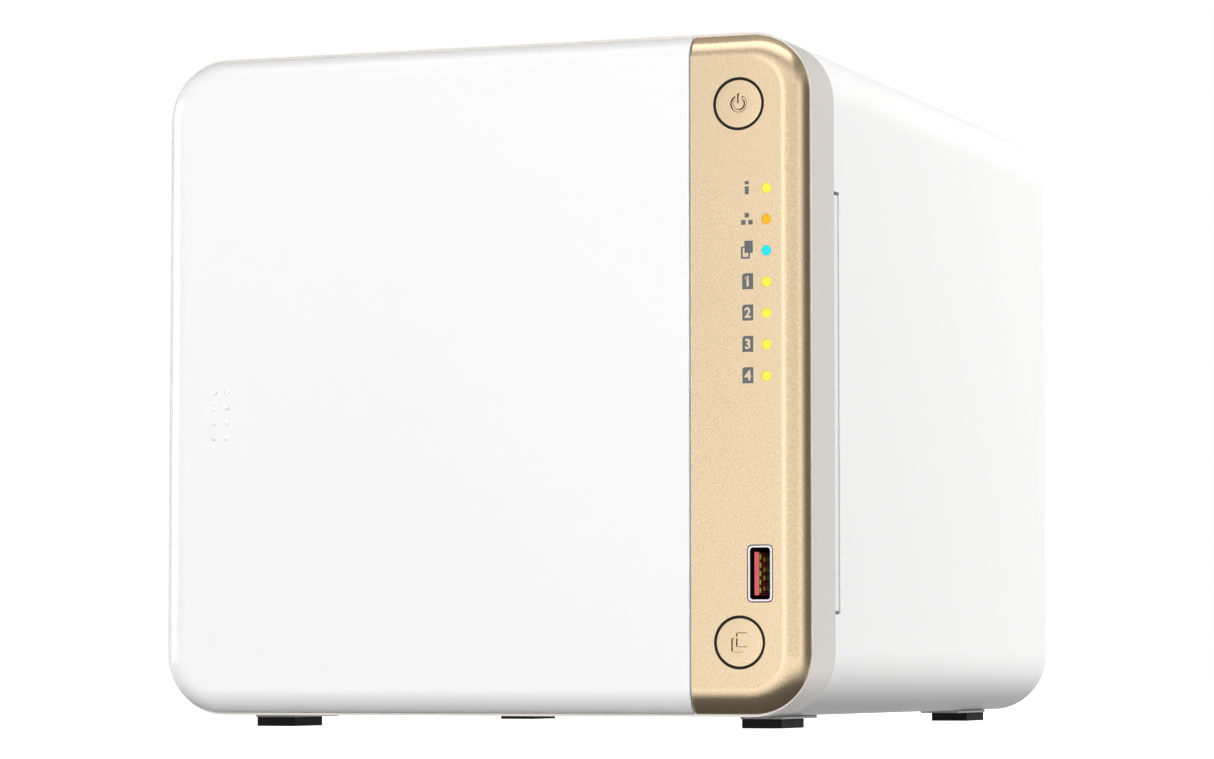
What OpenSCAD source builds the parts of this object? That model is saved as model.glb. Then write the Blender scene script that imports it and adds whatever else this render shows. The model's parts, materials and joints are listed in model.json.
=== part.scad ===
// Four-bay network storage box: white case, champagne-gold control strip, removable front cover.
// Millimetres. +X is the right of the box seen from the front, -Y is its front, +Z is up.
// The origin is on the desk, under the middle of the box.

/* [Case] */
// Width of the case
body_w = 170; // [168:1:176]
// Height of the case, without its feet
body_h = 165; // [164:0.5:168]
// Depth from the front cover to the case's rear rim
reach_d = 223.8; // [222:0.2:226]
// How far the fan screws' heads stand out behind the rear rim
rear_proud = 1.95; // [1.8:0.05:3]
// Corner radius of the case, seen from the front
corner_r = 15.4; // [14:0.2:17]
// Wall thickness of the case
case_t = 2.2; // [2:0.1:2.6]
// Height of the feet
foot_h = 3; // [2.8:0.1:4]

/* [Front] */
// How much narrower than the case the front cover and control strip are
front_in_w = 0.6; // [0.4:0.1:1]
// How much lower than the case they are
front_in_h = 1.3; // [0.8:0.1:1.6]
// Depth of the front cover and control strip
front_t = 3.8; // [3.6:0.1:4.2]
// How far in from their sides the front edge starts to round over
edge_in = 6.4; // [5.6:0.1:6.6]
// Depth of the champagne band behind them
band_d = 18; // [17:0.5:19]
// Distance from the middle of the box to the seam between cover and control strip
seam_x = 55.4; // [55.2:0.1:55.6]
// Width of that seam
seam_gap = 0.35; // [0.3:0.05:0.5]
// How far the cover's grip dots stand out
grip_proud = 0.25; // [0.2:0.05:0.4]

/* [Buttons and lamps] */
// Distance from the middle of the box to the button centres, sideways
button_x = 67.84; // [67.6:0.1:68]
// Height of the button centres above and below the middle of the case
button_dz = 64.7; // [64:0.1:65]
// Radius of a button cap
button_r = 5.8; // [5:0.1:5.8]
// How far a front button travels
button_travel = 0.6; // [0.4:0.1:0.7]
// Distance from the middle of the box to the lamp column
lamp_x = 74.8; // [74.6:0.1:75]
// Height of the top lamp above the middle of the case
lamp_top = 44.1; // [44:0.1:44.4]
// Distance from one lamp to the next
lamp_pitch = 7.53; // [7.5:0.01:7.56]
// Radius of a lamp
lamp_r = 1.2; // [1.1:0.05:1.25]

/* [Drive bays] */
// Width from one bay to the next
bay_pitch = 33; // [33:0.1:33.2]
// Left edge of the first bay
bay_left = -80.5; // [-80.6:0.1:-80.4]
// Height of a tray's front plate
tray_h = 136; // [134:1:137]

/* [Hidden] */

$fn = 48;
e = 0.01;                                  // overshoot of a cutting solid

// Stations along the depth
full_d = grip_proud + reach_d + rear_proud;
front_y = grip_proud - full_d / 2;         // face of the cover and the control strip
band_y = front_y + front_t;                // front of the champagne band
case_y = band_y + band_d;                  // front edge of the white case
rim_y = front_y + reach_d;                 // rear rim of the case
rear_y = rim_y + rear_proud;               // outermost point at the back
panel_t = 1.2;                             // rear panel sheet
panel_y = rim_y - 0.8;                     // outer face of the rear panel
panel_in_y = panel_y - panel_t;            // inner face of the rear panel

// Heights and widths
mid_z = foot_h + body_h / 2;
face_w = body_w - front_in_w;
face_h = body_h - front_in_h;
face_r = corner_r - 0.8;

// Rounded front edge: an arc that leaves the face smoothly and ends at a short straight land
edge_land = 0.3;
arc_d = front_t - edge_land;
arc_r = (edge_in * edge_in + arc_d * arc_d) / (2 * arc_d);
arc_end = asin(edge_in / arc_r);
inner_w = body_w - 2 * case_t;
inner_h = body_h - 2 * case_t;

// Front frame
frame_t = 2.6;                             // wall of the band
bulk_t = 2.2;                              // thickness of the wall behind cover and strip
bulk_y = band_y + bulk_t;
bezel_gap = 0.3;                           // gap round each tray's front plate
bay_right = bay_left + 4 * bay_pitch;
window_h = tray_h + 2 * bezel_gap + 0.4;
collar_t = 1.2;
tray_face_y = band_y + 1.2;                // front plate of a tray
tray_plate_d = 7;
collar_y = tray_face_y + tray_plate_d + 0.4;

// Drive cage and drives
cage_t = 1;
drive_w = 26.1;
drive_h = 101.6;
drive_d = 147;
bar_h = 5.2;                               // height of a tray's top and bottom bar
cage_gap = 0.5;
cage_h = drive_h + 2 * bar_h + 2 * cage_gap;
cage_y = collar_y;
drive_y = tray_face_y + tray_plate_d + 5;
socket_y = drive_y + drive_d + 0.5;
socket_d = 5.5;
backplane_y = socket_y + socket_d;
board_t = 1.6;
cage_end_y = backplane_y + board_t;

// Tray handle
handle_axis_z = mid_z - 54;
handle_axis_y = tray_face_y + 2.2;
handle_len = 108;
handle_hw = 10;                            // half its width
pocket_hw = 10.4;
barrel_r = 2.2;
stub_r = 1.5;
bore_gap = 0.08;

// Boards on the right
main_x = 58;                               // left face of the main board
main_y0 = -60;
main_y1 = panel_in_y - 1;
control_y = band_y + 11.2;                 // front face of the control board

// Fan
fan_x = bay_left + 2 * bay_pitch;
fan_size = 120;
fan_d = 25;
fan_y = panel_in_y - fan_d;
fan_bore_r = 58;
fan_hub_r = 20;
fan_base_d = 4;
blade_r = 56.5;
blades = 7;
fan_hole = 52.5;                           // half the distance between the fan's screws

// Rear sockets: height of each above the middle of the case
reset_z = 66;
hdmi_z = 48;
usb_z = [26, 6];
lan_z = [-17, -38];
inlet_z = -60;
socket_x0 = main_x + board_t;              // the sockets stand on the board's right face

// Feet
pad_w = 10.2;
pad_d = 17.9;
pad_h = 2.25;
base_w = 10.9;
base_d = 28.4;
foot_x = 65.1;
foot_front_y = front_y + 25;               // front edge of the front pads
foot_rear_y = front_y + 210.7;             // rear edge of the rear pads

white = "white";
gold = [0.86, 0.75, 0.58];
band_colour = [0.8, 0.78, 0.76];
steel = [0.75, 0.76, 0.78];
dark = [0.12, 0.12, 0.13];
board_green = [0.1, 0.35, 0.2];

function bay_x(n) = bay_left + (n - 0.5) * bay_pitch;

// Rounded rectangle, centred
module rounded(w, h, r) {
    square([w - 2 * r, h], center = true);
    square([w, h - 2 * r], center = true);
    for (sx = [-1, 1], sz = [-1, 1])
        translate([sx * (w / 2 - r), sz * (h / 2 - r)]) circle(r);
}

// Rounded slab across the box, from y0 to y1, centred on the case
module slab(w, h, r, y0, y1) {
    translate([0, y1, mid_z]) rotate([90, 0, 0]) linear_extrude(y1 - y0) rounded(w, h, r);
}

// Block between two corners
module block(a, b) {
    translate(a) cube(b - a);
}

// Cylinder along Y from y0 to y1
module rod(x, z, r, y0, y1) {
    translate([x, y0, z]) rotate([-90, 0, 0]) cylinder(r = r, h = y1 - y0);
}

// Cylinder along X from x0 to x1
module cross_rod(y, z, r, x0, x1) {
    translate([x0, y, z]) rotate([0, 90, 0]) cylinder(r = r, h = x1 - x0);
}

// Whole front block with its rounded edge, before the seam divides it
module front_block() {
    steps = 6;
    hull()
        for (i = [0:steps]) {
            a = arc_end * i / steps;
            in = edge_in - arc_r * sin(a);
            y = front_y + arc_r * (1 - cos(a));
            slab(face_w - 2 * in, face_h - 2 * in, face_r - in, y, band_y, $fn = 32);
        }
}

// Room behind the front block's skin
module front_room(skin, side) {
    slab(face_w - 2 * side, face_h - 2 * side, face_r - side, front_y + skin, band_y + e);
}

// ---- Case ----

strip_low = -57.8;                         // ends of the side channel, from the middle of the case
strip_high = 45.2;
strip_w = 4.2;
strip_deep = 1.2;
strip_slot = 0.8;                          // open slot at each end of the strip

module case_shell() {
    color(white) difference() {
        slab(body_w, body_h, corner_r, case_y, rim_y);
        slab(inner_w, inner_h, corner_r - case_t, case_y - e, rim_y + e);
        block([body_w / 2 - strip_deep, case_y - 1, mid_z + strip_low],
              [body_w / 2 + 1, case_y + strip_w, mid_z + strip_high]);
        for (z = [strip_low, strip_high - strip_slot])
            block([body_w / 2 - case_t - 1, case_y + 0.4, mid_z + z],
                  [body_w / 2 + 1, case_y + strip_w - 0.4, mid_z + z + strip_slot]);
    }
}

module side_strip() {
    low = strip_low + strip_slot;
    high = strip_high - strip_slot;
    notch = 0.9;
    color("gainsboro") difference() {
        block([body_w / 2 - strip_deep, case_y + 0.05, mid_z + low],
              [body_w / 2 - 0.25, case_y + strip_w - 0.35, mid_z + high]);
        for (k = [1:3])
            translate([body_w / 2 - 0.9, case_y, mid_z + low + k * (high - low) / 4 - notch / 2])
                cube([2, notch, notch]);
    }
}

// ---- Front frame and control strip ----

module lamp_holes(r, y0, y1) {
    for (k = [0:6])
        rod(lamp_x, mid_z + lamp_top - k * lamp_pitch, r, y0, y1);
}

usb_x = 73;                                // middle of the front socket
usb_dz = -48.3;
usb_hw = 3.05;                             // half its outer width
usb_hh = 6.7;                              // half its outer height
usb_gap = 0.2;                             // gap round it

module front_frame() {
    window_low = mid_z - window_h / 2;
    window_high = mid_z + window_h / 2;
    color(band_colour) difference() {
        union() {
            difference() {
                slab(body_w, body_h, corner_r, band_y, case_y);
                slab(body_w - 2 * frame_t, body_h - 2 * frame_t, corner_r - frame_t, bulk_y, case_y + e);
            }
            block([bay_left - bezel_gap - collar_t, band_y + 1, window_low - collar_t],
                  [bay_right + bezel_gap + collar_t, collar_y, window_high + collar_t]);
            // posts that carry the control board
            for (z = [-54, -32, 52])
                rod(65, mid_z + z, 2, bulk_y - 1, control_y);
        }
        block([bay_left - bezel_gap, band_y - 1, window_low],
              [bay_right + bezel_gap, collar_y + 1, window_high]);
        lamp_holes(lamp_r + 0.15, band_y - 1, bulk_y + 1);
        for (s = [-1, 1])
            rod(button_x, mid_z + s * button_dz, 3, band_y - 1, bulk_y + 1);
        block([usb_x - usb_hw - usb_gap, band_y - 1, mid_z + usb_dz - usb_hh - usb_gap],
              [usb_x + usb_hw + usb_gap, bulk_y + 1, mid_z + usb_dz + usb_hh + usb_gap]);
    }
}

ring_r = 6.4;                              // outer radius of a button ring

module control_strip() {
    color(gold) difference() {
        intersection() {
            front_block();
            block([seam_x + seam_gap / 2, front_y - 1, 0], [body_w, band_y + 1, body_h + 10]);
        }
        intersection() {
            front_room(2, 2.4);
            block([seam_x + 2, front_y, 0], [body_w, band_y + 1, body_h + 10]);
        }
        lamp_holes(lamp_r + 0.04, front_y - 1, band_y + 1);
        for (s = [-1, 1])
            rod(button_x, mid_z + s * button_dz, ring_r + 0.04, front_y - 1, band_y + 1);
        block([usb_x - usb_hw - usb_gap, front_y - 1, mid_z + usb_dz - usb_hh - usb_gap],
              [usb_x + usb_hw + usb_gap, band_y + 1, mid_z + usb_dz + usb_hh + usb_gap]);
    }
}

module button_ring(s) {
    color(dark) difference() {
        rod(button_x, mid_z + s * button_dz, ring_r, front_y + 0.2, band_y);
        rod(button_x, mid_z + s * button_dz, button_r + bore_gap, front_y - 1, band_y + 1);
    }
}

module lamp(k) {
    rod(lamp_x, mid_z + lamp_top - k * lamp_pitch, lamp_r, front_y + 0.05, control_y - 0.8);
    translate([lamp_x - 1.4, control_y - 0.8, mid_z + lamp_top - k * lamp_pitch - 1]) cube([2.8, 0.8, 2]);
}

module front_usb_shell() {
    wall = 0.54;
    color(steel) difference() {
        block([usb_x - usb_hw, front_y + 0.05, mid_z + usb_dz - usb_hh],
              [usb_x + usb_hw, control_y, mid_z + usb_dz + usb_hh]);
        block([usb_x - usb_hw + wall, front_y - 1, mid_z + usb_dz - usb_hh + wall],
              [usb_x + usb_hw - wall, control_y - 1.5, mid_z + usb_dz + usb_hh - wall]);
    }
}

// Tongue of the front socket: its contacts are on its right face
tongue_x = usb_x - usb_hw + 1.2;
tongue_w = 1.25;
tongue_hh = 5.2;
tongue_y = front_y + 1.2;

module front_usb_tongue() {
    color([0.75, 0.2, 0.2])
        block([tongue_x, tongue_y, mid_z + usb_dz - tongue_hh],
              [tongue_x + tongue_w, control_y - 1.5, mid_z + usb_dz + tongue_hh]);
}

// Row of contacts on the tongue, at heights z, each hh high either way, from y0 to y1
module contact_row(heights, hh, y0, y1) {
    for (z = heights)
        block([tongue_x + tongue_w, tongue_y + y0, mid_z + usb_dz + z - hh],
              [tongue_x + tongue_w + 0.2, tongue_y + y1, mid_z + usb_dz + z + hh]);
}

module front_usb_contacts() {
    color([0.8, 0.68, 0.35]) {
        contact_row([-4:2:4], 0.6, 0.4, 2);
        contact_row([-3.5, -1, 1, 3.5], 0.55, 3.6, 7.4);
    }
}

module control_board() {
    color(board_green)
        block([62, control_y, mid_z - 71], [81, control_y + board_t, mid_z + 71]);
}

module tact_switches() {
    for (s = [-1, 1]) {
        color(steel)
            block([button_x - 3, control_y - 3.4, mid_z + s * button_dz - 3],
                  [button_x + 3, control_y, mid_z + s * button_dz + 3]);
        color(dark) rod(button_x, mid_z + s * button_dz, 1.75, control_y - 4.6, control_y - 3.4);
    }
}

mark_deep = 0.35;                          // depth of an engraved mark
mark_y = front_y + 0.05;                   // face of a button cap
page_w = 3;
page_h = 3.5;
page_shift = [0.6, 0.62];                  // how far each page stands off the middle

// Open circle with a short bar in its gap
module power_mark(z) {
    difference() {
        rod(button_x, z, 2.1, mark_y - e, mark_y + mark_deep);
        rod(button_x, z, 1.3, mark_y - 1, mark_y + 1);
        block([button_x - 0.85, mark_y - 1, z], [button_x + 0.85, mark_y + 1, z + 3]);
    }
    block([button_x - 0.36, mark_y - e, z + 0.1], [button_x + 0.36, mark_y + mark_deep, z + 2.5]);
}

// One page: side is 1 for the nearer page, up and to the right, and -1 for the farther one
module page(side, z, gap, y0, y1) {
    x_mid = button_x + side * page_shift[0];
    z_mid = z + side * page_shift[1];
    block([x_mid - page_w / 2 - gap, y0, z_mid - page_h / 2 - gap],
          [x_mid + page_w / 2 + gap, y1, z_mid + page_h / 2 + gap]);
}

// Two overlapping pages with a gap between them
module copy_mark(z) {
    difference() {
        page(-1, z, 0, mark_y - e, mark_y + mark_deep);
        page(1, z, 0.4, mark_y - 1, mark_y + 1);
    }
    page(1, z, 0, mark_y - e, mark_y + mark_deep);
}

module front_button(s) {
    z = mid_z + s * button_dz;
    cap_d = 2.4;
    color(gold) union() {
        difference() {
            rod(button_x, z, button_r, mark_y, front_y + cap_d);
            if (s > 0) power_mark(z); else copy_mark(z);
        }
        rod(button_x, z, 2.5, front_y + cap_d, control_y - 4.6 - button_travel - 0.2);
    }
}

// ---- Front cover ----

grip_x = -70.85;                           // left column of grip dots
grip_step = 3.45;                          // distance to the right column
grip_top = -1.95;                          // top row, from the middle of the case
grip_pitch = 3.8;                          // distance from one row to the next
grip_r = 0.75;

module front_cover() {
    color(white) union() {
        difference() {
            intersection() {
                front_block();
                block([-body_w, front_y - 1, 0], [seam_x - seam_gap / 2, band_y - 0.15, body_h + 10]);
            }
            intersection() {
                front_room(2.2, 2.4);
                block([-body_w, front_y, 0], [seam_x - 2, band_y + 1, body_h + 10]);
            }
        }
        for (i = [0:1], k = [0:3])
            rod(grip_x + grip_step * i, mid_z + grip_top - grip_pitch * k, grip_r, front_y - grip_proud,
                front_y + 0.5);
    }
}

// ---- Drive cage ----

cage_low = mid_z - cage_h / 2;
cage_high = mid_z + cage_h / 2;

cage_x0 = bay_left - cage_t;
cage_x1 = bay_right + cage_t;
flange_z = window_h / 2 + collar_t;        // height of the flanges' ends above and below the middle
leg_x = [-66, 48];                         // legs under the bottom plate

// Top and bottom plates, each with an upright flange against the front frame
module drive_cage() {
    color(steel)
        for (s = [-1, 1]) {
            block([cage_x0, cage_y, mid_z + s * cage_h / 2 - (s < 0 ? cage_t : 0)],
                  [cage_x1, cage_end_y, mid_z + s * cage_h / 2 + (s < 0 ? 0 : cage_t)]);
            block([cage_x0, cage_y, mid_z + s * (s < 0 ? flange_z : cage_h / 2 + cage_t / 2)],
                  [cage_x1, cage_y + cage_t, mid_z + s * (s < 0 ? cage_h / 2 + cage_t / 2 : flange_z)]);
        }
    // legs down to the floor of the case
    color(steel)
        for (x = leg_x)
            block([x, cage_y + 24, mid_z - inner_h / 2], [x + cage_t, cage_y + 140, cage_low - cage_t / 2]);
}

// Left and right plates with windows, and the posts that carry the main board
module cage_sides() {
    color(steel) difference() {
        union() {
            for (x = [cage_x0, bay_right])
                block([x, cage_y, cage_low], [x + cage_t, cage_end_y, cage_high]);
            for (y = [main_y0 + 8, 48], z = [-48, 48])
                cross_rod(y, mid_z + z, 2.4, cage_x1 - 0.5, main_x);
        }
        for (k = [0:3], z = [-30, 0, 30])
            block([cage_x0 - 1, cage_y + 20 + 32 * k, mid_z + z - 9],
                  [cage_x1 + 1, cage_y + 38 + 32 * k, mid_z + z + 9]);
    }
}

module guide_rails() {
    rail_w = 2.4;
    color(dark)
        for (k = [1:3], s = [-1, 1])
            translate([bay_left + k * bay_pitch - rail_w / 2, cage_y + 2, mid_z + s * (cage_h / 2 - 2) - 2])
                cube([rail_w, 130, 4]);
}

module backplane_board() {
    color(board_green) difference() {
        block([bay_left, backplane_y, cage_low], [bay_right, cage_end_y, cage_high]);
        for (n = [1:4], z = [-38, 6, 30])
            block([bay_x(n) - 11, backplane_y - 1, mid_z + z - 8],
                  [bay_x(n) + 11, cage_end_y + 1, mid_z + z + 8]);
    }
}

module drive_sockets() {
    color(dark)
        for (n = [1:4])
            difference() {
                block([bay_x(n) - 8, socket_y, mid_z - 28], [bay_x(n) - 2, backplane_y, mid_z - 4]);
                block([bay_x(n) - 6, socket_y - 1, mid_z - 26], [bay_x(n) - 4, backplane_y - 1.5, mid_z - 6]);
            }
}

// ---- Trays, drives and handles ----

module tray(n) {
    x = bay_x(n);
    plate_hw = bay_pitch / 2 - bezel_gap;
    back_y = tray_face_y + tray_plate_d;
    low = mid_z - drive_h / 2;
    high = mid_z + drive_h / 2;
    side_x = x - drive_w / 2;
    tail_y = drive_y + drive_d - 6;
    color([0.82, 0.82, 0.83]) union() {
        difference() {
            block([x - plate_hw, tray_face_y, mid_z - tray_h / 2],
                  [x + plate_hw, back_y, mid_z + tray_h / 2]);
            // pocket for the handle
            block([x - pocket_hw, tray_face_y - 1, handle_axis_z - 3.4],
                  [x + pocket_hw, tray_face_y + 4.9, handle_axis_z + handle_len + 1.2]);
            // air slots through the pocket floor
            for (k = [0:9], s = [-1, 1])
                block([x + s * 5 - 3.4, tray_face_y, handle_axis_z + 10 + 9.6 * k],
                      [x + s * 5 + 3.4, back_y + 1, handle_axis_z + 14 + 9.6 * k]);
            cross_rod(handle_axis_y, handle_axis_z, stub_r + bore_gap, x - 13.5, x + 13.5);
            // hollow back
            block([x - plate_hw + 1.4, tray_face_y + 6.2, mid_z - tray_h / 2 + 1.4],
                  [x + plate_hw - 1.4, back_y + 1, low - bar_h]);
            block([x - plate_hw + 1.4, tray_face_y + 6.2, high + bar_h],
                  [x + plate_hw - 1.4, back_y + 1, mid_z + tray_h / 2 - 1.4]);
        }
        // bars above and below the drive
        block([side_x - 1.3, back_y, low - bar_h], [x + drive_w / 2, tail_y, low]);
        block([side_x - 1.3, back_y, high], [x + drive_w / 2, tail_y, high + bar_h]);
        // side plate with windows
        difference() {
            block([side_x - 1.3, back_y, low - e], [side_x - 0.02, tail_y, high + e]);
            for (k = [0:2], z = [-24, 24])
                block([side_x - 2, back_y + 14 + 44 * k, mid_z + z - 17],
                      [side_x + 1, back_y + 46 + 44 * k, mid_z + z + 17]);
        }
    }
}

module drive(n) {
    x = bay_x(n);
    color([0.6, 0.61, 0.63]) difference() {
        block([x - drive_w / 2, drive_y, mid_z - drive_h / 2],
              [x + drive_w / 2 - 1, drive_y + drive_d, mid_z + drive_h / 2]);
        // shelf for the plug at the rear edge
        block([x - 10, drive_y + drive_d - 5, mid_z - 30], [x - 1, drive_y + drive_d + 1, mid_z - 2]);
        // hollow side where its own board lies
        block([x - drive_w / 2 - 1, drive_y + 46, mid_z - 44],
              [x - drive_w / 2 + 1.5, drive_y + 138, mid_z + 44]);
    }
}

module drive_lid(n) {
    x = bay_x(n) + drive_w / 2 - 1;
    color(steel) union() {
        block([x, drive_y + 2, mid_z - drive_h / 2 + 2],
              [x + 0.6, drive_y + drive_d - 2, mid_z + drive_h / 2 - 2]);
        cross_rod(drive_y + 56, mid_z, 45, x + 0.6, x + 1);
    }
}

module handle(n) {
    x = bay_x(n);
    top = handle_axis_z + handle_len;
    face = tray_face_y - 0.4;
    color([0.9, 0.9, 0.9]) union() {
        difference() {
            block([x - handle_hw, face, handle_axis_z], [x + handle_hw, face + 3, top]);
            // finger hollow near the free end
            block([x - 7, face - 1, top - 20], [x + 7, face + 1.6, top - 4]);
            // middle opening lets air through
            block([x - 6.5, face - 1, handle_axis_z + 14], [x + 6.5, face + 4, top - 26]);
        }
        cross_rod(handle_axis_y, handle_axis_z, barrel_r, x - handle_hw, x + handle_hw);
        cross_rod(handle_axis_y, handle_axis_z, stub_r, x - 13, x + 13);
    }
}

// ---- Boards on the right ----

module main_board() {
    color(board_green)
        block([main_x, main_y0, mid_z - 70], [main_x + board_t, main_y1, mid_z + 70]);
}

module heatsink() {
    color([0.55, 0.56, 0.58]) union() {
        block([socket_x0, -20, mid_z - 25], [socket_x0 + 3.5, 30, mid_z + 25]);
        for (k = [0:12])
            block([socket_x0 + 3.5 - e, -20, mid_z - 25 + 4.07 * k],
                  [socket_x0 + 16, 30, mid_z - 25 + 4.07 * k + 1.1]);
    }
}

module memory_socket() {
    color(dark) union() {
        block([socket_x0, -40, mid_z - 36], [socket_x0 + 5.2, -34, mid_z + 36]);
        for (s = [-1, 1])
            block([socket_x0, -58, mid_z + s * 35 - 1], [socket_x0 + 5.2, -34, mid_z + s * 35 + 1]);
    }
}

module memory_module() {
    color(board_green)
        block([socket_x0 + 2.4, -59, mid_z - 33.8], [socket_x0 + 3.6, -40, mid_z + 33.8]);
    color(dark)
        for (k = [-1.5:1:1.5])
            block([socket_x0 + 3.6, -55, mid_z + k * 16 - 6], [socket_x0 + 4.8, -44, mid_z + k * 16 + 6]);
}

// ---- Rear sockets ----

lan_w = 13.6;
lan_h = 16;
usb_w = 7;
usb_h = 14.4;
hdmi_w = 5.8;
hdmi_h = 15.2;
inlet_w = 11;
inlet_r = 3.2;
inlet_x = socket_x0 + inlet_w / 2;
socket_out_y = panel_y + 0.4;

module network_sockets() {
    color([0.7, 0.71, 0.72])
        for (z = lan_z)
            difference() {
                block([socket_x0, panel_in_y - 18, mid_z + z - lan_h / 2],
                      [socket_x0 + lan_w, socket_out_y, mid_z + z + lan_h / 2]);
                block([socket_x0 + 2.4, panel_in_y - 12, mid_z + z - 5.9],
                      [socket_x0 + 10.6, socket_out_y + 1, mid_z + z + 5.9]);
                block([socket_x0 + 10.6 - e, panel_in_y - 12, mid_z + z - 3],
                      [socket_x0 + 12.4, socket_out_y + 1, mid_z + z + 3]);
            }
}

module rear_usb_shells() {
    color(steel)
        for (z = usb_z)
            difference() {
                block([socket_x0 + 0.4, panel_in_y - 16, mid_z + z - usb_h / 2],
                      [socket_x0 + 0.4 + usb_w, socket_out_y, mid_z + z + usb_h / 2]);
                block([socket_x0 + 0.8, panel_in_y - 14, mid_z + z - usb_h / 2 + 0.4],
                      [socket_x0 + usb_w, socket_out_y + 1, mid_z + z + usb_h / 2 - 0.4]);
            }
}

module rear_usb_tongues() {
    color([0.1, 0.3, 0.75])
        for (z = usb_z)
            block([socket_x0 + 2, panel_in_y - 14, mid_z + z - 5.6],
                  [socket_x0 + 3.9, socket_out_y - 1.2, mid_z + z + 5.6]);
}

module hdmi_socket() {
    x = socket_x0 + 0.4;
    color(steel) difference() {
        block([x, panel_in_y - 11, mid_z + hdmi_z - hdmi_h / 2],
              [x + hdmi_w, socket_out_y, mid_z + hdmi_z + hdmi_h / 2]);
        difference() {
            block([x + 0.5, panel_in_y - 9, mid_z + hdmi_z - hdmi_h / 2 + 0.5],
                  [x + hdmi_w - 0.5, socket_out_y + 1, mid_z + hdmi_z + hdmi_h / 2 - 0.5]);
            block([x + 2.2, panel_in_y - 10, mid_z + hdmi_z - 5.4],
                  [x + 3.4, socket_out_y - 1, mid_z + hdmi_z + 5.4]);
        }
    }
}

module power_inlet() {
    color(dark) difference() {
        block([socket_x0, panel_in_y - 14, mid_z + inlet_z - inlet_w / 2],
              [socket_x0 + inlet_w, socket_out_y, mid_z + inlet_z + inlet_w / 2]);
        rod(inlet_x, mid_z + inlet_z, inlet_r, panel_in_y - 9, socket_out_y + 1);
    }
    color("gold") rod(inlet_x, mid_z + inlet_z, 1.1, panel_in_y - 9, socket_out_y - 1);
}

reset_x = socket_x0 + 4;
reset_r = 1.6;
reset_travel = 0.8;

// ---- Rear panel and fan ----

module rear_panel() {
    gap = 0.1;
    color([0.86, 0.86, 0.87]) difference() {
        slab(inner_w - 2 * gap, inner_h - 2 * gap, corner_r - case_t - gap, panel_in_y, panel_y);
        rod(fan_x, mid_z, fan_bore_r - 1, panel_in_y - 1, panel_y + 1);
        for (sx = [-1, 1], sz = [-1, 1])
            rod(fan_x + sx * fan_hole, mid_z + sz * fan_hole, 1.7, panel_in_y - 1, panel_y + 1);
        for (z = lan_z)
            block([socket_x0 - 0.1, panel_in_y - 1, mid_z + z - lan_h / 2 - 0.1],
                  [socket_x0 + lan_w + 0.1, panel_y + 1, mid_z + z + lan_h / 2 + 0.1]);
        for (z = usb_z)
            block([socket_x0 + 0.3, panel_in_y - 1, mid_z + z - usb_h / 2 - 0.1],
                  [socket_x0 + 0.5 + usb_w, panel_y + 1, mid_z + z + usb_h / 2 + 0.1]);
        block([socket_x0 + 0.3, panel_in_y - 1, mid_z + hdmi_z - hdmi_h / 2 - 0.1],
              [socket_x0 + 0.5 + hdmi_w, panel_y + 1, mid_z + hdmi_z + hdmi_h / 2 + 0.1]);
        block([socket_x0 - 0.1, panel_in_y - 1, mid_z + inlet_z - inlet_w / 2 - 0.1],
              [socket_x0 + inlet_w + 0.1, panel_y + 1, mid_z + inlet_z + inlet_w / 2 + 0.1]);
        rod(reset_x, mid_z + reset_z, reset_r + bore_gap, panel_in_y - 1, panel_y + 1);
        // lock slot
        block([73, panel_in_y - 1, mid_z + 62], [76, panel_y + 1, mid_z + 69]);
        // vent slots beside the sockets
        for (k = [0:9])
            block([76, panel_in_y - 1, mid_z - 44 + 9 * k], [79.5, panel_y + 1, mid_z - 39 + 9 * k]);
    }
}

screw_spots = [[-78, 68], [-78, -68], [79, 52], [79, -68]];

module panel_screws() {
    color(steel)
        for (p = screw_spots)
            difference() {
                rod(p[0], mid_z + p[1], 2.6, panel_y, panel_y + 1.8);
                translate([p[0] - 0.4, panel_y + 1, mid_z + p[1] - 1.8]) cube([0.8, 2, 3.6]);
                translate([p[0] - 1.8, panel_y + 1, mid_z + p[1] - 0.4]) cube([3.6, 2, 0.8]);
            }
}

module fan_frame() {
    side = fan_size / 2;
    color(dark) union() {
        difference() {
            block([fan_x - side, fan_y, mid_z - side], [fan_x + side, panel_in_y, mid_z + side]);
            rod(fan_x, mid_z, fan_bore_r, fan_y - 1, panel_in_y + 1);
            for (sx = [-1, 1], sz = [-1, 1])
                rod(fan_x + sx * fan_hole, mid_z + sz * fan_hole, 2, fan_y - 1, panel_in_y + 1);
        }
        // motor base and its four struts
        rod(fan_x, mid_z, fan_hub_r, panel_in_y - fan_base_d, panel_in_y - 0.3);
        for (a = [45:90:315])
            translate([fan_x, panel_in_y - fan_base_d + 0.4, mid_z]) rotate([0, a, 0])
                translate([fan_hub_r - 2, 0, -2]) cube([fan_bore_r - fan_hub_r + 5, fan_base_d - 1, 4]);
        // shaft
        rod(fan_x, mid_z, 1.5, fan_y + 6, panel_in_y - 2);
    }
}

module fan_rotor() {
    hub_y0 = fan_y + 2.5;
    hub_y1 = panel_in_y - fan_base_d - 0.6;
    blade_d = 15;
    color([0.2, 0.2, 0.22]) difference() {
        union() {
            rod(fan_x, mid_z, fan_hub_r, hub_y0, hub_y1);
            intersection() {
                rod(fan_x, mid_z, blade_r, hub_y0, hub_y1);
                for (k = [0:blades - 1])
                    translate([fan_x, (hub_y0 + hub_y1) / 2, mid_z]) rotate([0, 360 * k / blades, 0])
                        rotate([38, 0, 0]) translate([fan_hub_r - 2, -0.8, -blade_d])
                            cube([blade_r, 1.6, 2 * blade_d]);
            }
        }
        rod(fan_x, mid_z, 1.5 + bore_gap, fan_y + 5.8, hub_y1 + 1);
    }
}

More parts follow.
